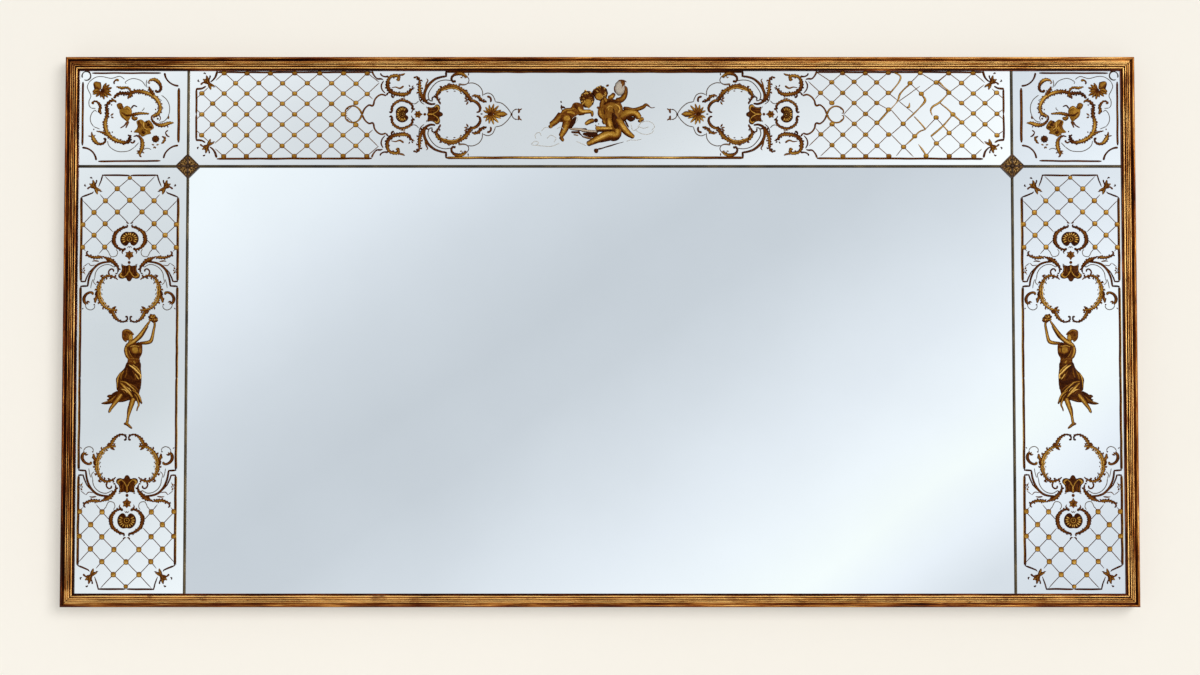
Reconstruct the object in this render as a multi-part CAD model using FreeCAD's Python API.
"""A wide wall mirror of the overmantel kind, with a painted and gilded glass border.

The object hangs on a wall. Its face looks along -Y, +Z is up, and the origin is the centre of the wall
plane that its four bumpers touch. All lengths are in millimetres.

From front to back it is: a mitred frame of reeded gilt moulding, six silvered glass plates parted by thin
brass T bars, a cast brass rosette over each of the two crossings, felt packing, and a framed wooden back
with seven loose panels, held in the frame's rebate by screwed steel plates. Two strap hangers carry
swinging D rings.
"""

import FreeCAD
import Part

import math
import os

# ---------------------------------------------------------------- driving dimensions

# Frame, outside sizes
FRAME_WIDTH = 1530.0
FRAME_HEIGHT = 785.0
WALL_GAP = 7.0  # thickness of the bumpers, so the gap between the frame's back and the wall

# Moulding, from its outer edge inwards
BEAD_RADIUS = 1.8  # round bead on the outer edge
GROOVE_WIDTH = 2.8  # deep dark groove inside the bead
REED_COUNT = 3
REED_WIDTH = 2.3
INNER_GROOVE_WIDTH = 0.6
INNER_BEAD_RADIUS = 1.3
SLIP_WIDTH = 2.5  # flat dark slip beside the glass
REBATE_OVERLAP = 7.0  # how far the rebate runs back under the sight edge

# Moulding, heights
LIP_THICKNESS = 3.0  # wood between the slip's face and the glass
BEAD_HEIGHT = 6.2  # height of the outer bead's spring line above the slip
GROOVE_HEIGHT = 2.0  # height of the deep groove's floor above the slip
FIRST_REED_HEIGHT = 5.4  # spring line of the outermost reed above the slip
REED_STEP = 0.7  # each reed springs this much lower than the one outside it
REED_RISE = 1.2  # rise of a reed's crown above its spring line
INNER_BEAD_HEIGHT = 2.0  # height of the inner bead's spring line above the slip

# Mitre keys
KEY_LEG = 20.0
KEY_THICKNESS = 2.5
KEY_DEPTH_SHARE = 0.5  # where the key sits in the rebated part of the moulding

# Depth stack inside the rebate
BACKING_THICKNESS = 12.0
PACKING_THICKNESS = 1.0
GLASS_THICKNESS = 4.0

# Layout of the plates
SIDE_PLATE_WIDTH = 156.0  # from the sight edge to the centre line of an upright bar
FRIEZE_HEIGHT = 137.5  # from the sight edge to the centre line of the level bars
GLASS_OVERLAP = 4.0  # how far a plate runs in under the sight edge
GLASS_NIP_RADIUS = 4.0  # corner nipped off a plate to pass the rosette's stud

# Brass dividing bars, T section
BAR_HEAD_WIDTH = 4.0
BAR_HEAD_EDGE = 0.8  # height of the head at its edges
BAR_HEAD_CROWN = 1.6  # height of the head at its middle
BAR_STEM_THICKNESS = 1.6
BAR_STEM_CLEARANCE = 0.2
BAR_KERF_DEPTH = 3.0  # how far the stem runs into the wooden back
BAR_END_GAP = 0.2  # gap between the head's end and the sight edge
BAR_CROSSING_GAP = 4.5  # half the open space where the bars meet under a rosette

# Rosettes
ROSETTE_DIAGONAL = 34.0  # across the clipped points
ROSETTE_CORNER_CLIP = 1.2  # half the width of a clipped point
ROSETTE_PLATE_THICKNESS = 3.4
ROSETTE_RIM_WIDTH = 1.3
ROSETTE_RIM_HEIGHT = 0.7
ROSETTE_BOSS_RADIUS = 3.0
ROSETTE_ROOT = 1.0  # how far each petal and leaf runs in under the boss
ROSETTE_CHANNEL_CLEARANCE = 0.15
PETAL_LENGTH = 8.4
PETAL_WIDTH = 4.4
PETAL_RISE = 1.5
LEAF_LENGTH = 5.2
LEAF_WIDTH = 2.8
LEAF_RISE = 1.1
STUD_RADIUS = 2.0
STUD_CLEARANCE = 0.3
STUD_TAIL_GAP = 0.5  # how far the stud's end stays inside the back of the wood
COUNTERBORE_RADIUS = 6.5
COUNTERBORE_DEPTH = 5.5
WASHER_RADIUS = 5.5
WASHER_THICKNESS = 1.0
NUT_ACROSS_FLATS = 7.0
NUT_THICKNESS = 3.2

# Framed wooden back
BACK_MEMBER_WIDTH = 50.0
BACK_EDGE_CLEARANCE = 0.5
PANEL_THICKNESS = 4.0
PANEL_BACK_OFFSET = 4.0  # from the back face of the members to the panel and the tenons
PANEL_TONGUE = 5.0  # how far a panel runs into its groove
GROOVE_SLACK = 1.0  # groove depth beyond the panel's edge
PANEL_CLEARANCE = 0.1
TENON_LENGTH = 15.0
TENON_WIDTH = 30.0
TENON_THICKNESS = 4.0
TENON_CLEARANCE = 0.1

# Felt packing and cork setting blocks
FELT_INSET = 3.0
FELT_WIDTH = 14.0
SETTING_BLOCK_LENGTH = 30.0
SETTING_BLOCK_END = 40.0  # from a plate's corner to the nearest block

# Retaining plates across the joint between frame and back
RETAINER_LENGTH = 32.0
RETAINER_WIDTH = 14.0
RETAINER_THICKNESS = 1.5
RETAINER_EDGE = 1.5  # from the frame's outer edge to the plate
RETAINER_HOLE_INSET = 4.5
RETAINER_CORNER_X = 105.0  # from a corner to the nearest plate along the width
RETAINER_CORNER_Z = 225.0  # and along the height
RETAINERS_PER_RAIL = 4
RETAINERS_PER_STILE = 2

# Wood screws
SCREW_SHANK_RADIUS = 1.4
SCREW_LENGTH = 9.0
SCREW_HEAD_RADIUS = 2.9
SCREW_HEAD_HEIGHT = 1.5
SCREW_HEAD_ROUND = 0.9
SCREW_SLOT_WIDTH = 0.7
SCREW_SLOT_DEPTH = 0.7
SCREW_CLEARANCE = 0.05
SCREW_PLATE_CLEARANCE = 0.25

# Strap hangers and D rings
HANGER_DROP = 130.5  # from the frame's top edge down to the ring's hinge line
STRAP_WIDTH = 14.0
STRAP_LENGTH = 56.0
STRAP_THICKNESS = 1.6
STRAP_SCREW_DROPS = (34.0, 49.0)  # down from the hinge line
EYE_WALL = 0.8
RING_WIRE_RADIUS = 1.5
RING_HINGE_CLEARANCE = 0.08
RING_INNER_WIDTH = 20.0
RING_INNER_DROP = 21.0  # from the hinge line to the inside of the bow
RING_CORNER_RADIUS = 3.5
RING_STRAP_GAP = 0.3  # gap between the hanging ring and the strap

# Wall bumpers
BUMPER_RADIUS = 9.0
BUMPER_INSET_X = 32.0  # from the frame's outer edge to a bumper's centre
BUMPER_INSET_Z = 40.0

# ---------------------------------------------------------------- sizes that follow

FACE_WIDTH = (
    2 * BEAD_RADIUS + GROOVE_WIDTH + REED_COUNT * REED_WIDTH
    + INNER_GROOVE_WIDTH + 2 * INNER_BEAD_RADIUS + SLIP_WIDTH
)
GLASS_BACK = BACKING_THICKNESS + PACKING_THICKNESS
GLASS_FACE = GLASS_BACK + GLASS_THICKNESS
SLIP_FACE = GLASS_FACE + LIP_THICKNESS
REBATE_WALL = FACE_WIDTH - REBATE_OVERLAP

HALF_WIDTH = FRAME_WIDTH / 2
HALF_HEIGHT = FRAME_HEIGHT / 2
SIGHT_X = HALF_WIDTH - FACE_WIDTH
SIGHT_Z = HALF_HEIGHT - FACE_WIDTH
BAR_X = SIGHT_X - SIDE_PLATE_WIDTH  # centre line of each upright bar
BAR_Z = SIGHT_Z - FRIEZE_HEIGHT  # centre line of the level bars
GLASS_EDGE_X = SIGHT_X + GLASS_OVERLAP
GLASS_EDGE_Z = SIGHT_Z + GLASS_OVERLAP
BACK_EDGE_X = HALF_WIDTH - REBATE_WALL - BACK_EDGE_CLEARANCE
BACK_EDGE_Z = HALF_HEIGHT - REBATE_WALL - BACK_EDGE_CLEARANCE
HALF_JOINT = BAR_STEM_THICKNESS / 2 + BAR_STEM_CLEARANCE  # half the gap between two plates
HALF_MEMBER = BACK_MEMBER_WIDTH / 2
HINGE_HEIGHT = STRAP_THICKNESS + RING_STRAP_GAP + RING_WIRE_RADIUS  # above the wood
HANGER_X = BACK_EDGE_X - HALF_MEMBER  # the middle of the back's stile
HANGER_Z = HALF_HEIGHT - HANGER_DROP

SIDES = {"left": -1, "right": 1}


def depth_y(height):
    """Y of a point that stands height in front of the frame's back face."""
    return -(WALL_GAP + height)


def point(x, height, z):
    """A point given by its height in front of the frame's back face."""
    return FreeCAD.Vector(x, depth_y(height), z)


def block(x_range, height_range, z_range):
    """A box between two values of x, of height in front of the frame's back, and of z."""
    x_low, x_high = sorted(x_range)
    low, high = sorted(height_range)
    z_low, z_high = sorted(z_range)
    corner = point(x_low, high, z_low)
    return Part.makeBox(x_high - x_low, high - low, z_high - z_low, corner)


def rod(radius, x, z, height_range):
    """A round bar along Y, centred on x and z."""
    low, high = sorted(height_range)
    axis = FreeCAD.Vector(0, 1, 0)
    return Part.makeCylinder(radius, high - low, point(x, high, z), axis)


def prism(outline, height_range):
    """The outline, a list of (x, z) corners, as a solid between two heights."""
    low, high = sorted(height_range)
    corners = [point(x, high, z) for x, z in outline]
    face = Part.Face(Part.makePolygon(corners + corners[:1]))
    return face.extrude(FreeCAD.Vector(0, high - low, 0))


def grown(box, in_plane, through):
    """The bounding box of a box-shaped solid, made larger in its plane and through its thickness."""
    b = box.BoundBox
    corner = FreeCAD.Vector(b.XMin - in_plane, b.YMin - through, b.ZMin - in_plane)
    return Part.makeBox(
        b.XLength + 2 * in_plane, b.YLength + 2 * through, b.ZLength + 2 * in_plane, corner
    )


# ---------------------------------------------------------------- frame


def moulding_profile():
    """Edges of the moulding's section as (start, middle, end), where middle is None on a straight line.

    Each point is (distance in from the outer edge, height above the frame's back)."""
    edges = []
    here = [(0.0, 0.0)]

    def line(u, v):
        edges.append((here[0], None, (u, v)))
        here[0] = (u, v)

    def arc(crown, u, v):
        edges.append((here[0], crown, (u, v)))
        here[0] = (u, v)

    u = 0.0
    spring = SLIP_FACE + BEAD_HEIGHT
    line(u, spring)
    arc((u + BEAD_RADIUS, spring + BEAD_RADIUS), u + 2 * BEAD_RADIUS, spring)
    u += 2 * BEAD_RADIUS
    groove_floor = SLIP_FACE + GROOVE_HEIGHT
    line(u, groove_floor)
    u += GROOVE_WIDTH
    line(u, groove_floor)
    spring = SLIP_FACE + FIRST_REED_HEIGHT
    line(u, spring)
    for _ in range(REED_COUNT):
        crown = spring - REED_STEP / 2 + REED_RISE
        arc((u + REED_WIDTH / 2, crown), u + REED_WIDTH, spring - REED_STEP)
        u += REED_WIDTH
        spring -= REED_STEP
    spring = SLIP_FACE + INNER_BEAD_HEIGHT
    line(u, spring)
    u += INNER_GROOVE_WIDTH
    line(u, spring)
    arc((u + INNER_BEAD_RADIUS, spring + INNER_BEAD_RADIUS), u + 2 * INNER_BEAD_RADIUS, spring)
    u += 2 * INNER_BEAD_RADIUS
    line(u, SLIP_FACE)
    line(FACE_WIDTH, SLIP_FACE)
    line(FACE_WIDTH, GLASS_FACE)
    line(REBATE_WALL, GLASS_FACE)
    line(REBATE_WALL, 0.0)
    line(0.0, 0.0)
    return edges


def mitre_keys():
    """A three-cornered hardwood key let into the outside of each mitre."""
    middle = GLASS_BACK * KEY_DEPTH_SHARE
    heights = (middle - KEY_THICKNESS / 2, middle + KEY_THICKNESS / 2)
    keys = []
    for sx in (-1, 1):
        for sz in (-1, 1):
            corner_x, corner_z = sx * HALF_WIDTH, sz * HALF_HEIGHT
            outline = [
                (corner_x, corner_z),
                (corner_x - sx * KEY_LEG, corner_z),
                (corner_x, corner_z - sz * KEY_LEG),
            ]
            keys.append(prism(outline, heights))
    return keys


def moulding(place, run, mitre, keys):
    """One length of moulding: place maps a section point to space, run is its extrusion."""
    edges = []
    for start, middle, end in moulding_profile():
        if middle is None:
            edge = Part.LineSegment(place(*start), place(*end))
        else:
            edge = Part.Arc(place(*start), place(*middle), place(*end))
        edges.append(edge.toShape())
    bar = Part.Face(Part.Wire(edges)).extrude(run)
    bar = bar.common(prism(mitre, (-1.0, SLIP_FACE + BEAD_HEIGHT + BEAD_RADIUS + 1.0)))
    for key in keys:
        bar = bar.cut(key)
    return bar


def frame_members(keys):
    """The four mitred lengths of moulding, by name."""
    reach = min(HALF_WIDTH, HALF_HEIGHT)
    members = {}
    for name, s in (("frame_top_rail", 1), ("frame_bottom_rail", -1)):
        mitre = [
            (-HALF_WIDTH, s * HALF_HEIGHT),
            (HALF_WIDTH, s * HALF_HEIGHT),
            (HALF_WIDTH - reach, s * (HALF_HEIGHT - reach)),
            (reach - HALF_WIDTH, s * (HALF_HEIGHT - reach)),
        ]
        members[name] = moulding(
            lambda u, v, s=s: point(-HALF_WIDTH, v, s * (HALF_HEIGHT - u)),
            FreeCAD.Vector(FRAME_WIDTH, 0, 0), mitre, keys,
        )
    for name, s in (("frame_left_stile", -1), ("frame_right_stile", 1)):
        mitre = [
            (s * HALF_WIDTH, -HALF_HEIGHT),
            (s * HALF_WIDTH, HALF_HEIGHT),
            (s * (HALF_WIDTH - reach), HALF_HEIGHT - reach),
        ]
        if HALF_HEIGHT > reach:
            mitre.append((s * (HALF_WIDTH - reach), reach - HALF_HEIGHT))
        members[name] = moulding(
            lambda u, v, s=s: point(s * (HALF_WIDTH - u), v, -HALF_HEIGHT),
            FreeCAD.Vector(0, 0, FRAME_HEIGHT), mitre, keys,
        )
    return members


# ---------------------------------------------------------------- glass


def plate_outlines():
    """(x range, z range) of each glass plate, by name."""
    inner_x = BAR_X - HALF_JOINT
    outer_x = BAR_X + HALF_JOINT
    below = (-GLASS_EDGE_Z, BAR_Z - HALF_JOINT)
    above = (BAR_Z + HALF_JOINT, GLASS_EDGE_Z)
    outlines = {
        "main_mirror_plate": ((-inner_x, inner_x), below),
        "frieze_mirror_plate": ((-inner_x, inner_x), above),
    }
    for side, s in SIDES.items():
        across = tuple(sorted((s * outer_x, s * GLASS_EDGE_X)))
        outlines[f"{side}_corner_mirror_plate"] = (across, above)
        outlines[f"{side}_side_mirror_plate"] = (across, below)
    return outlines


def mirror_plates():
    """The six silvered plates, each nipped where a rosette's stud passes."""
    heights = (GLASS_BACK, GLASS_FACE)
    plates = {}
    for name, (across, up) in plate_outlines().items():
        plate = block(across, heights, up)
        for s in SIDES.values():
            nip = rod(GLASS_NIP_RADIUS, s * BAR_X, BAR_Z, (GLASS_BACK - 1, GLASS_FACE + 1))
            plate = plate.cut(nip)
        plates[name] = plate
    return plates


def felt_packing():
    """A thin felt border behind each plate."""
    heights = (BACKING_THICKNESS, GLASS_BACK)
    felts = []
    for (x_low, x_high), (z_low, z_high) in plate_outlines().values():
        edge, inner = FELT_INSET, FELT_INSET + FELT_WIDTH
        sheet = block((x_low + edge, x_high - edge), heights, (z_low + edge, z_high - edge))
        window = block(
            (x_low + inner, x_high - inner), (heights[0] - 1, heights[1] + 1),
            (z_low + inner, z_high - inner),
        )
        felts.append(sheet.cut(window))
    return felts


def setting_blocks():
    """Cork blocks between the plates' outer edges and the wall of the rebate."""
    heights = (GLASS_BACK, GLASS_FACE)
    wall_x = HALF_WIDTH - REBATE_WALL
    wall_z = HALF_HEIGHT - REBATE_WALL
    blocks = []
    for (x_low, x_high), (z_low, z_high) in plate_outlines().values():
        ends_x = (x_low + SETTING_BLOCK_END, x_high - SETTING_BLOCK_END - SETTING_BLOCK_LENGTH)
        ends_z = (z_low + SETTING_BLOCK_END, z_high - SETTING_BLOCK_END - SETTING_BLOCK_LENGTH)
        for edge, s in ((z_low, -1), (z_high, 1)):
            if abs(edge - s * GLASS_EDGE_Z) < 1e-6:
                for x in ends_x:
                    span = (x, x + SETTING_BLOCK_LENGTH)
                    blocks.append(block(span, heights, (edge, s * wall_z)))
        for edge, s in ((x_low, -1), (x_high, 1)):
            if abs(edge - s * GLASS_EDGE_X) < 1e-6:
                for z in ends_z:
                    span = (z, z + SETTING_BLOCK_LENGTH)
                    blocks.append(block((edge, s * wall_x), heights, span))
    return blocks


# ---------------------------------------------------------------- dividing bars


def bar_section(across):
    """The T section of a bar's head, as a face; across(a, height) maps it to space."""
    half = BAR_HEAD_WIDTH / 2
    base, edge = GLASS_FACE, GLASS_FACE + BAR_HEAD_EDGE
    crown = GLASS_FACE + BAR_HEAD_CROWN
    corners = [across(-half, edge), across(-half, base), across(half, base), across(half, edge)]
    edges = [Part.LineSegment(a, b).toShape() for a, b in zip(corners, corners[1:])]
    edges.append(Part.Arc(corners[3], across(0, crown), corners[0]).toShape())
    return Part.Face(Part.Wire(edges))


def dividing_bar(axis, centre, head_range, stem_range):
    """A brass T bar along "x" or "z", centred on the other of the two."""
    head_low, head_high = sorted(head_range)
    stem_half = BAR_STEM_THICKNESS / 2
    stem_across = (centre - stem_half, centre + stem_half)
    stem_heights = (BACKING_THICKNESS - BAR_KERF_DEPTH, GLASS_FACE)
    if axis == "x":
        head = bar_section(lambda a, h: point(head_low, h, centre + a))
        head = head.extrude(FreeCAD.Vector(head_high - head_low, 0, 0))
        stem = block(stem_range, stem_heights, stem_across)
    else:
        head = bar_section(lambda a, h: point(centre + a, h, head_low))
        head = head.extrude(FreeCAD.Vector(0, 0, head_high - head_low))
        stem = block(stem_across, stem_heights, stem_range)
    return head.fuse(stem).removeSplitter()


def bar_layout():
    """name: (axis, centre line, range of the head, range of the stem) of each bar."""
    gap, end = BAR_CROSSING_GAP, BAR_END_GAP
    below, above = BAR_Z - gap, BAR_Z + gap
    layout = {
        "frieze_dividing_bar": (
            "x", BAR_Z, (gap - BAR_X, BAR_X - gap), (gap - BAR_X, BAR_X - gap),
        )
    }
    for side, s in SIDES.items():
        start = s * (BAR_X + gap)
        layout[f"{side}_outer_dividing_bar"] = (
            "x", BAR_Z, (start, s * (SIGHT_X - end)), (start, s * GLASS_EDGE_X),
        )
        layout[f"upper_{side}_dividing_bar"] = (
            "z", s * BAR_X, (above, SIGHT_Z - end), (above, GLASS_EDGE_Z),
        )
        layout[f"lower_{side}_dividing_bar"] = (
            "z", s * BAR_X, (end - SIGHT_Z, below), (-GLASS_EDGE_Z, below),
        )
    return layout


def bar_kerfs():
    """Saw kerfs in the wooden back that take the stems, a little wider and longer than they are."""
    half = HALF_JOINT
    heights = (BACKING_THICKNESS - BAR_KERF_DEPTH - BAR_STEM_CLEARANCE, BACKING_THICKNESS + 1)
    kerfs = []
    for axis, centre, _, stem_range in bar_layout().values():
        low, high = sorted(stem_range)
        along = (low - half, high + half)
        across = (centre - half, centre + half)
        if axis == "x":
            kerfs.append(block(along, heights, across))
        else:
            kerfs.append(block(across, heights, along))
    return kerfs


# ---------------------------------------------------------------- rosettes


def lozenge(centre_x, centre_z, half_diagonal, clip):
    """Corners of a square on its point, cut off square, clip to each side, at half_diagonal."""
    corners = []
    for quarter in range(4):
        angle = math.pi / 2 * quarter
        out = (math.cos(angle), math.sin(angle))
        side = (-out[1], out[0])
        for s in (-1, 1):
            corners.append((
                centre_x + out[0] * half_diagonal + s * side[0] * clip,
                centre_z + out[1] * half_diagonal + s * side[1] * clip,
            ))
    return corners


def cast_leaf(length, width, rise, centre_x, centre_z, distance, angle, face):
    """Half an egg lying on the face, pointing away from the rosette's centre."""
    ball = Part.makeSphere(1.0)
    stretch = FreeCAD.Matrix()
    stretch.A11 = length / 2
    stretch.A22 = rise
    stretch.A33 = width / 2
    egg = ball.transformGeometry(stretch)
    egg = egg.cut(Part.makeBox(4 * length, 4 * length, 4 * length,
                               FreeCAD.Vector(-2 * length, 0, -2 * length)))
    egg.rotate(FreeCAD.Vector(0, 0, 0), FreeCAD.Vector(0, 1, 0), -math.degrees(angle))
    egg.translate(point(
        centre_x + distance * math.cos(angle), face, centre_z + distance * math.sin(angle)
    ))
    return egg


def rosette(centre_x, centre_z):
    """A cast brass lozenge with a rim, a boss, four petals and four leaves, on a threaded stud."""
    half = ROSETTE_DIAGONAL / 2
    face = GLASS_FACE + ROSETTE_PLATE_THICKNESS
    rim = face + ROSETTE_RIM_HEIGHT
    inset = ROSETTE_RIM_WIDTH * math.sqrt(2)
    casting = prism(lozenge(centre_x, centre_z, half, ROSETTE_CORNER_CLIP), (GLASS_FACE, rim))
    well = prism(
        lozenge(centre_x, centre_z, half - inset, ROSETTE_CORNER_CLIP), (face, rim + 1)
    )
    casting = casting.cut(well)
    relief = []
    petal_distance = ROSETTE_BOSS_RADIUS - ROSETTE_ROOT + PETAL_LENGTH / 2
    leaf_distance = ROSETTE_BOSS_RADIUS - ROSETTE_ROOT + LEAF_LENGTH / 2
    for quarter in range(4):
        angle = math.pi / 2 * quarter
        relief.append(cast_leaf(
            PETAL_LENGTH, PETAL_WIDTH, PETAL_RISE, centre_x, centre_z, petal_distance, angle, face
        ))
        relief.append(cast_leaf(
            LEAF_LENGTH, LEAF_WIDTH, LEAF_RISE, centre_x, centre_z,
            leaf_distance, angle + math.pi / 4, face,
        ))
    boss = Part.makeSphere(ROSETTE_BOSS_RADIUS, point(centre_x, face, centre_z))
    boss = boss.common(rod(ROSETTE_BOSS_RADIUS + 1, centre_x, centre_z,
                           (face - 1, face + ROSETTE_BOSS_RADIUS + 1)))
    stud = rod(STUD_RADIUS, centre_x, centre_z, (STUD_TAIL_GAP, face - 1))
    casting = casting.fuse(relief + [boss])
    half_channel = BAR_HEAD_WIDTH / 2 + ROSETTE_CHANNEL_CLEARANCE
    channel = (GLASS_FACE - 1, GLASS_FACE + BAR_HEAD_CROWN + ROSETTE_CHANNEL_CLEARANCE)
    reach = (-half - 1, half + 1)
    casting = casting.cut(block(
        [centre_x + r for r in reach], channel, (centre_z - half_channel, centre_z + half_channel)
    ))
    casting = casting.cut(block(
        (centre_x - half_channel, centre_x + half_channel), channel, [centre_z + r for r in reach]
    ))
    return casting.fuse(stud)


def stud_hole(centre_x, centre_z):
    """Clearance hole and counterbore for a rosette's stud, washer and nut."""
    hole = rod(STUD_RADIUS + STUD_CLEARANCE, centre_x, centre_z, (-1, BACKING_THICKNESS + 1))
    return hole.fuse(rod(COUNTERBORE_RADIUS, centre_x, centre_z, (-1, COUNTERBORE_DEPTH)))


def washer(centre_x, centre_z):
    """The washer at the bottom of a counterbore."""
    heights = (COUNTERBORE_DEPTH - WASHER_THICKNESS, COUNTERBORE_DEPTH)
    disc = rod(WASHER_RADIUS, centre_x, centre_z, heights)
    return disc.cut(rod(STUD_RADIUS + STUD_CLEARANCE, centre_x, centre_z, (heights[0] - 1, heights[1] + 1)))


def nut(centre_x, centre_z):
    """The hexagon nut behind a washer."""
    top = COUNTERBORE_DEPTH - WASHER_THICKNESS
    radius = NUT_ACROSS_FLATS / math.sqrt(3)
    outline = [
        (centre_x + radius * math.cos(math.pi / 3 * k), centre_z + radius * math.sin(math.pi / 3 * k))
        for k in range(6)
    ]
    body = prism(outline, (top - NUT_THICKNESS, top))
    bore = rod(STUD_RADIUS + SCREW_CLEARANCE, centre_x, centre_z, (top - NUT_THICKNESS - 1, top + 1))
    return body.cut(bore)


# ---------------------------------------------------------------- wooden back


def back_layout():
    """name: (x range, z range, axis of the tenons or None) of each member of the back."""
    w, half = BACK_MEMBER_WIDTH, HALF_MEMBER
    stile_x = BACK_EDGE_X - w
    rail_z = BACK_EDGE_Z - w
    cross = (BAR_Z - half, BAR_Z + half)
    members = {
        "back_top_rail": ((-stile_x, stile_x), (rail_z, BACK_EDGE_Z), "x"),
        "back_bottom_rail": ((-stile_x, stile_x), (-BACK_EDGE_Z, -rail_z), "x"),
        "back_middle_cross_rail": ((half - BAR_X, BAR_X - half), cross, "x"),
        "back_centre_muntin": ((-half, half), (-rail_z, cross[0]), "z"),
    }
    for side, s in SIDES.items():
        members[f"back_{side}_stile"] = (
            (s * stile_x, s * BACK_EDGE_X), (-BACK_EDGE_Z, BACK_EDGE_Z), None,
        )
        members[f"back_{side}_muntin"] = (
            (s * (BAR_X - half), s * (BAR_X + half)), (-rail_z, rail_z), "z",
        )
        members[f"back_{side}_cross_rail"] = ((s * (BAR_X + half), s * stile_x), cross, "x")
    return members


def tenons(x_range, z_range, axis):
    """The two tenons of a member."""
    if axis is None:
        return []
    heights = (PANEL_BACK_OFFSET, PANEL_BACK_OFFSET + TENON_THICKNESS)
    x_low, x_high = sorted(x_range)
    z_low, z_high = sorted(z_range)
    half = TENON_WIDTH / 2
    if axis == "x":
        middle = (z_low + z_high) / 2
        across = (middle - half, middle + half)
        return [
            block((x_low - TENON_LENGTH, x_low), heights, across),
            block((x_high, x_high + TENON_LENGTH), heights, across),
        ]
    middle = (x_low + x_high) / 2
    across = (middle - half, middle + half)
    return [
        block(across, heights, (z_low - TENON_LENGTH, z_low)),
        block(across, heights, (z_high, z_high + TENON_LENGTH)),
    ]


def back_panels():
    """The seven loose panels, by name. Each runs into the grooves around its opening."""
    half = HALF_MEMBER
    stile_x = BACK_EDGE_X - BACK_MEMBER_WIDTH
    rail_z = BACK_EDGE_Z - BACK_MEMBER_WIDTH
    above = (BAR_Z + half, rail_z)
    below = (-rail_z, BAR_Z - half)
    openings = {"frieze_back_panel": ((half - BAR_X, BAR_X - half), above)}
    for side, s in SIDES.items():
        outer = (s * (BAR_X + half), s * stile_x)
        openings[f"{side}_corner_back_panel"] = (outer, above)
        openings[f"{side}_side_back_panel"] = (outer, below)
        openings[f"main_{side}_back_panel"] = ((s * half, s * (BAR_X - half)), below)
    heights = (PANEL_BACK_OFFSET, PANEL_BACK_OFFSET + PANEL_THICKNESS)
    panels = {}
    for name, (across, up) in openings.items():
        opening = block(across, heights, up)
        panels[name] = grown(opening, PANEL_TONGUE, 0.0)
    return panels


def back_members(panels, holes):
    """The ten members of the back, grooved, mortised, kerfed and drilled."""
    heights = (0.0, BACKING_THICKNESS)
    layout = back_layout()
    own_tenons = {name: tenons(*spec) for name, spec in layout.items()}
    grooves = [grown(p, GROOVE_SLACK, PANEL_CLEARANCE) for p in panels.values()]
    kerfs = bar_kerfs()
    members = {}
    for name, (across, up, _) in layout.items():
        member = block(across, heights, up)
        mortises = [
            grown(t, TENON_CLEARANCE, TENON_CLEARANCE)
            for other, others in own_tenons.items() if other != name for t in others
        ]
        for tool in grooves + mortises + kerfs + holes:
            if tool.BoundBox.intersect(member.BoundBox):
                member = member.cut(tool)
        for tenon in own_tenons[name]:
            member = member.fuse(tenon)
        members[name] = member.removeSplitter()
    return members


# ---------------------------------------------------------------- screws and retaining plates


def screw(x, z, seat):
    """A slotted round-head screw driven from behind; seat is the height its head bears on, 0 or less."""
    shank = rod(SCREW_SHANK_RADIUS, x, z, (seat, seat + SCREW_LENGTH))
    head = rod(SCREW_HEAD_RADIUS, x, z, (seat - SCREW_HEAD_HEIGHT, seat))
    rim = [e for e in head.Edges if abs(e.BoundBox.YMax - depth_y(seat - SCREW_HEAD_HEIGHT)) < 1e-6]
    head = head.makeFillet(SCREW_HEAD_ROUND, [e for e in rim if e.Closed][:1])
    slot = block(
        (x - SCREW_HEAD_RADIUS, x + SCREW_HEAD_RADIUS),
        (seat - SCREW_HEAD_HEIGHT - 1, seat - SCREW_HEAD_HEIGHT + SCREW_SLOT_DEPTH),
        (z - SCREW_SLOT_WIDTH / 2, z + SCREW_SLOT_WIDTH / 2),
    )
    return head.cut(slot).fuse(shank)


def pilot(x, z):
    """The pilot hole of a screw in wood."""
    return rod(SCREW_SHANK_RADIUS + SCREW_CLEARANCE, x, z, (-1, SCREW_LENGTH + SCREW_CLEARANCE))


def spread(half_length, count):
    """Even steps from -half_length to half_length."""
    return [half_length * (2 * k / (count - 1) - 1) for k in range(count)]


def retainer_places():
    """(x, z, direction inwards) of each retaining plate's outer end."""
    edge_x = HALF_WIDTH - RETAINER_EDGE
    edge_z = HALF_HEIGHT - RETAINER_EDGE
    along_rail = spread(HALF_WIDTH - RETAINER_CORNER_X, RETAINERS_PER_RAIL)
    along_stile = spread(HALF_HEIGHT - RETAINER_CORNER_Z, RETAINERS_PER_STILE)
    places = []
    for s in (-1, 1):
        places += [(x, s * edge_z, (0, -s)) for x in along_rail]
        places += [(s * edge_x, z, (-s, 0)) for z in along_stile]
    return places


def retainer_holes(place):
    """The two screw places of a retaining plate: in the frame, then in the back."""
    x, z, (dx, dz) = place
    reaches = (RETAINER_HOLE_INSET, RETAINER_LENGTH - RETAINER_HOLE_INSET)
    return [(x + dx * r, z + dz * r) for r in reaches]


def retainer(place):
    """A flat steel plate with two screw holes."""
    x, z, (dx, dz) = place
    half = RETAINER_WIDTH / 2
    far_x, far_z = x + dx * RETAINER_LENGTH, z + dz * RETAINER_LENGTH
    across = (x - half, x + half) if dx == 0 else (x, far_x)
    up = (z, far_z) if dx == 0 else (z - half, z + half)
    plate = block(across, (-RETAINER_THICKNESS, 0.0), up)
    for hole_x, hole_z in retainer_holes(place):
        radius = SCREW_SHANK_RADIUS + SCREW_PLATE_CLEARANCE
        plate = plate.cut(rod(radius, hole_x, hole_z, (-RETAINER_THICKNESS - 1, 1)))
    return plate


# ---------------------------------------------------------------- hangers and bumpers


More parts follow.
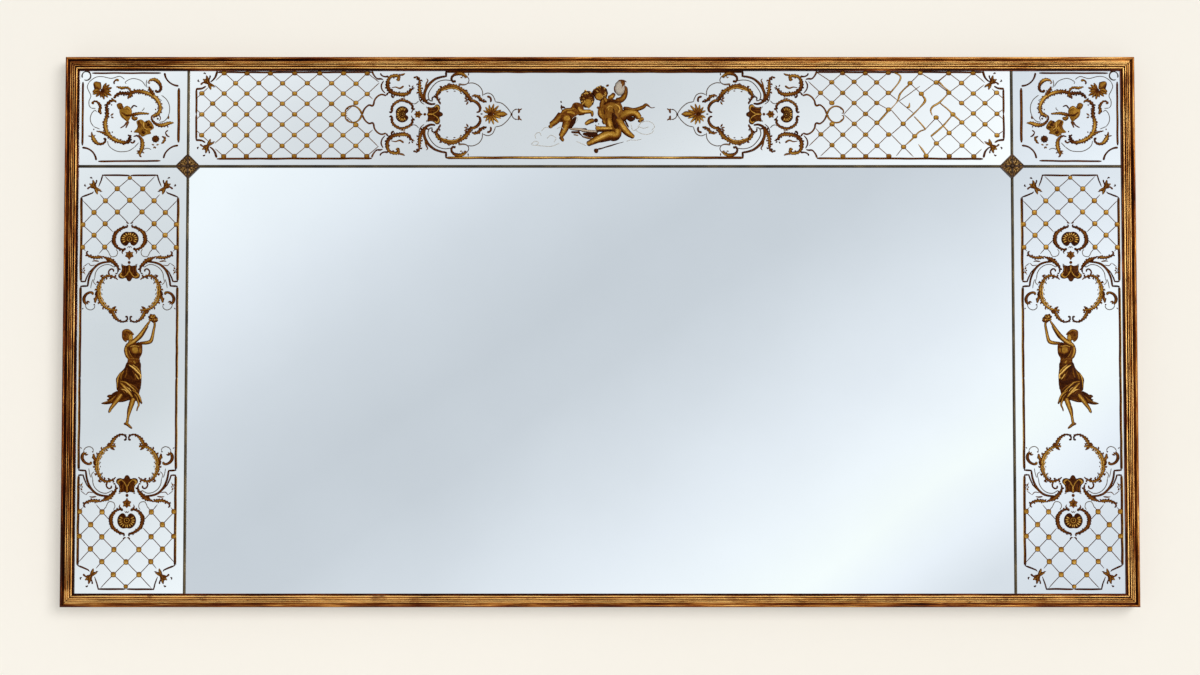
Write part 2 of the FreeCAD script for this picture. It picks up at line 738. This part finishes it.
def hanger_screws_at(x):
    """The screw places of the strap at x."""
    return [(x, HANGER_Z - drop) for drop in STRAP_SCREW_DROPS]


def strap(x):
    """A steel strap with an eye rolled at its top, which holds the ring's straight side."""
    half = STRAP_WIDTH / 2
    eye_inner = RING_WIRE_RADIUS + RING_HINGE_CLEARANCE
    eye_outer = eye_inner + EYE_WALL
    hinge = FreeCAD.Vector(x - half, depth_y(-HINGE_HEIGHT), HANGER_Z)
    along = FreeCAD.Vector(1, 0, 0)
    plate = block((x - half, x + half), (-STRAP_THICKNESS, 0.0), (HANGER_Z - STRAP_LENGTH, HANGER_Z))
    eye = Part.makeCylinder(eye_outer, STRAP_WIDTH, hinge, along)
    web = block(
        (x - half, x + half), (-HINGE_HEIGHT, 0.0), (HANGER_Z - EYE_WALL, HANGER_Z + EYE_WALL)
    )
    body = plate.fuse([eye, web]).cut(Part.makeCylinder(eye_inner, STRAP_WIDTH, hinge, along))
    for hole_x, hole_z in hanger_screws_at(x):
        radius = SCREW_SHANK_RADIUS + SCREW_PLATE_CLEARANCE
        body = body.cut(rod(radius, hole_x, hole_z, (-STRAP_THICKNESS - 1, 1)))
    return body.removeSplitter()


def ring(x):
    """A D ring of round wire, hanging down from its hinge line."""
    wire = RING_WIRE_RADIUS
    half = RING_INNER_WIDTH / 2 + wire
    corner = RING_CORNER_RADIUS
    bow_z = HANGER_Z - (RING_INNER_DROP + wire) + half  # centre of the half-round bow
    y = depth_y(-HINGE_HEIGHT)

    def at(dx, z):
        return FreeCAD.Vector(x + dx, y, z)

    turn = corner * (1 - math.sqrt(0.5))
    path = Part.Wire([
        Part.LineSegment(at(0, HANGER_Z), at(half - corner, HANGER_Z)).toShape(),
        Part.Arc(at(half - corner, HANGER_Z), at(half - turn, HANGER_Z - turn),
                 at(half, HANGER_Z - corner)).toShape(),
        Part.LineSegment(at(half, HANGER_Z - corner), at(half, bow_z)).toShape(),
        Part.Arc(at(half, bow_z), at(0, bow_z - half), at(-half, bow_z)).toShape(),
        Part.LineSegment(at(-half, bow_z), at(-half, HANGER_Z - corner)).toShape(),
        Part.Arc(at(-half, HANGER_Z - corner), at(turn - half, HANGER_Z - turn),
                 at(corner - half, HANGER_Z)).toShape(),
        Part.LineSegment(at(corner - half, HANGER_Z), at(0, HANGER_Z)).toShape(),
    ])
    section = Part.Wire([
        Part.Circle(at(0, HANGER_Z), FreeCAD.Vector(1, 0, 0), wire).toShape()
    ])
    return path.makePipeShell([section], True, False)


def wall_bumpers():
    """Cork buttons behind the four corners, which stand against the wall."""
    x = HALF_WIDTH - BUMPER_INSET_X
    z = HALF_HEIGHT - BUMPER_INSET_Z
    return [
        rod(BUMPER_RADIUS, sx * x, sz * z, (-WALL_GAP, 0.0)) for sx in (-1, 1) for sz in (-1, 1)
    ]


# ---------------------------------------------------------------- the whole object


def build():
    """Every sub-part of the mirror as {node name: solid or list of solids}."""
    crossings = [(s * BAR_X, BAR_Z) for s in SIDES.values()]
    keys = mitre_keys()
    panels = back_panels()
    retainer_screws = [hole for place in retainer_places() for hole in retainer_holes(place)]
    hanger_screws = [hole for s in SIDES.values() for hole in hanger_screws_at(s * HANGER_X)]
    pilots = [pilot(x, z) for x, z in retainer_screws + hanger_screws]

    nodes = {"mitre_keys": keys}
    for name, member in frame_members(keys).items():
        for tool in pilots:
            if tool.BoundBox.intersect(member.BoundBox):
                member = member.cut(tool)
        nodes[name] = member
    nodes.update(mirror_plates())
    nodes["felt_packing"] = felt_packing()
    nodes["setting_blocks"] = setting_blocks()
    for name, spec in bar_layout().items():
        nodes[name] = dividing_bar(*spec)
    for side, s in SIDES.items():
        nodes[f"{side}_rosette"] = rosette(s * BAR_X, BAR_Z)
    nodes["rosette_washers"] = [washer(x, z) for x, z in crossings]
    nodes["rosette_nuts"] = [nut(x, z) for x, z in crossings]
    nodes.update(panels)
    nodes.update(back_members(panels, [stud_hole(x, z) for x, z in crossings] + pilots))
    nodes["retaining_plates"] = [retainer(place) for place in retainer_places()]
    nodes["retaining_plate_screws"] = [screw(x, z, -RETAINER_THICKNESS) for x, z in retainer_screws]
    for side, s in SIDES.items():
        nodes[f"{side}_hanger_strap"] = strap(s * HANGER_X)
        nodes[f"{side}_hanger_ring"] = ring(s * HANGER_X)
    nodes["hanger_screws"] = [screw(x, z, -STRAP_THICKNESS) for x, z in hanger_screws]
    nodes["wall_bumpers"] = wall_bumpers()
    return nodes


def main():
    """Writes one STEP file per node and prints what each holds."""
    os.makedirs("parts", exist_ok=True)
    for name, shape in sorted(build().items()):
        solids = shape if isinstance(shape, list) else shape.Solids
        whole = solids[0] if len(solids) == 1 else Part.makeCompound(solids)
        whole.exportStep(f"parts/{name}.step")
        print(f"{name}: {len(solids)} solid(s), {whole.Volume / 1000:.2f} cm3, valid {whole.isValid()}")


main()
